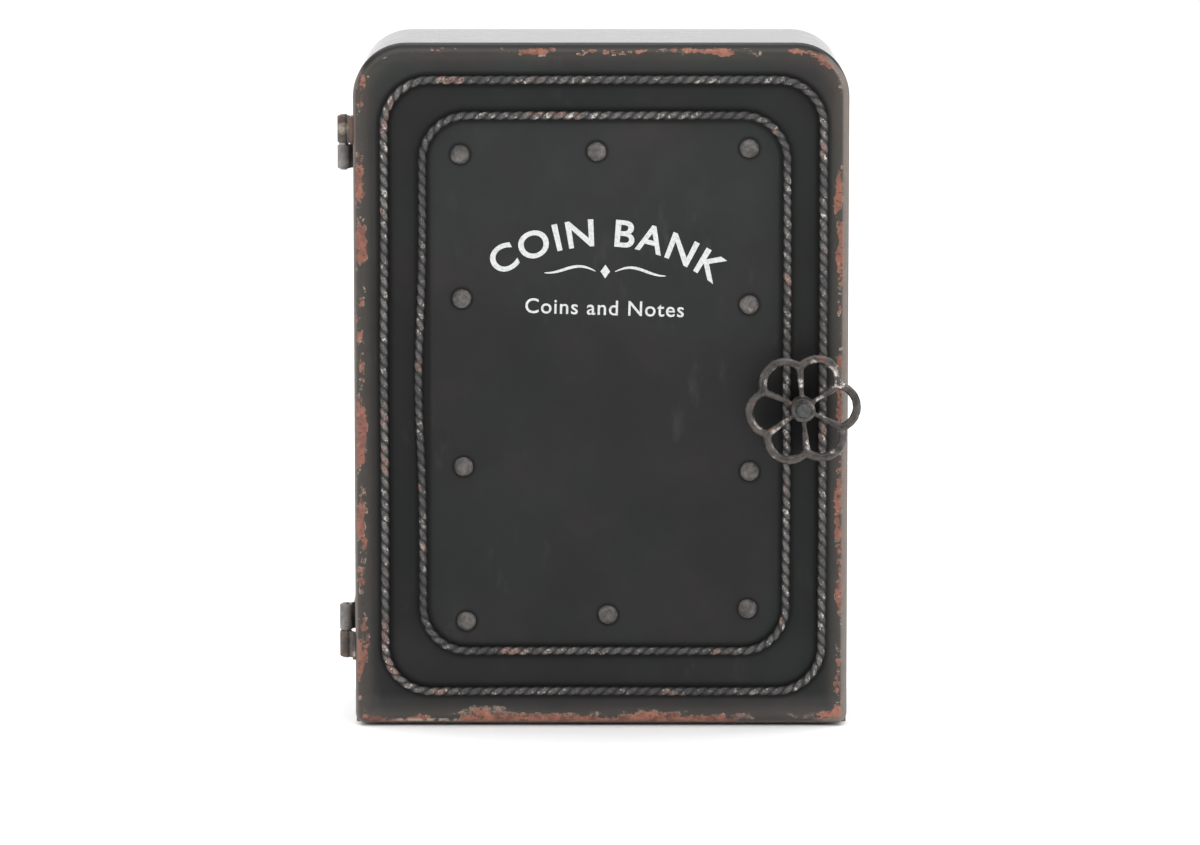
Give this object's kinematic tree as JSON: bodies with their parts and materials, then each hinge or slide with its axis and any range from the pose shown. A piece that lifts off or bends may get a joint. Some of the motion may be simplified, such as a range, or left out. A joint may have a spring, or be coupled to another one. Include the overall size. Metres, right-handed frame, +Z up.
{
  "type": "safe-shaped money box",
  "caption": "Upright sheet-steel money box shaped like a safe: round-topped case with a coin slot in its back, hinged pan door with rope mouldings and rivets, and a handwheel latch.",
  "frame": {"origin": "middle of the case's underside, half way across its width and half way along its depth", "axes": "+X to the right as seen from the front, +Y towards the back, +Z up; the door faces -Y"},
  "size_m": [0.2279, 0.1216, 0.3],
  "materials": {
    "case_paint": "aged black enamel, chipped to red-brown primer along the edges",
    "door_paint": "aged black enamel, satin, chipped to red-brown primer along the edges",
    "moulding_wire": "worn black enamel on twisted steel wire, with rubbed steel and coppery patches",
    "rivet_steel": "grey, worn paint on domed rivet heads",
    "hinge_steel": "worn black enamel on steel, browned where it rubs",
    "pin_steel": "dull drawn steel with light rust",
    "wheel_iron": "dark brown-grey casting, rubbed bright on the rim",
    "fastener_steel": "dull zinc-plated steel",
    "bush_steel": "turned mild steel"
  },
  "bodies": {
    "case": {"case_wrap": "case_paint", "base_plate": "case_paint", "front_frame": "case_paint", "back_panel": "case_paint", "upper_hinge_case_leaf": "hinge_steel", "upper_hinge_pin": "pin_steel", "upper_hinge_washer": "pin_steel", "lower_hinge_case_leaf": "hinge_steel", "lower_hinge_pin": "pin_steel"},
    "door": {"door_skin": "door_paint", "door_doubler": "door_paint", "outer_rope_moulding": "moulding_wire", "inner_rope_moulding": "moulding_wire", "door_rivets": "rivet_steel", "spindle_bush": "bush_steel", "upper_hinge_door_leaf": "hinge_steel", "lower_hinge_door_leaf": "hinge_steel"},
    "latch": {"spindle": "bush_steel", "handwheel": "wheel_iron", "wheel_screw": "fastener_steel", "wheel_washer": "fastener_steel", "stop_collar": "bush_steel", "latch_cam": "fastener_steel", "cam_washer": "fastener_steel", "cam_nut": "fastener_steel"}
  },
  "joints": [
    {"name": "door_swing", "type": "hinge", "parent": "case", "child": "door", "pos_m": [-0.1124, -0.04325, 0.15], "axis": [0, 0, -1], "range_deg": [0, 180]},
    {"name": "wheel_turn", "type": "hinge", "parent": "door", "child": "latch", "pos_m": [0.0877, -0.057, 0.1425], "axis": [0, -1, 0], "range_deg": [0, 90]}
  ]
}
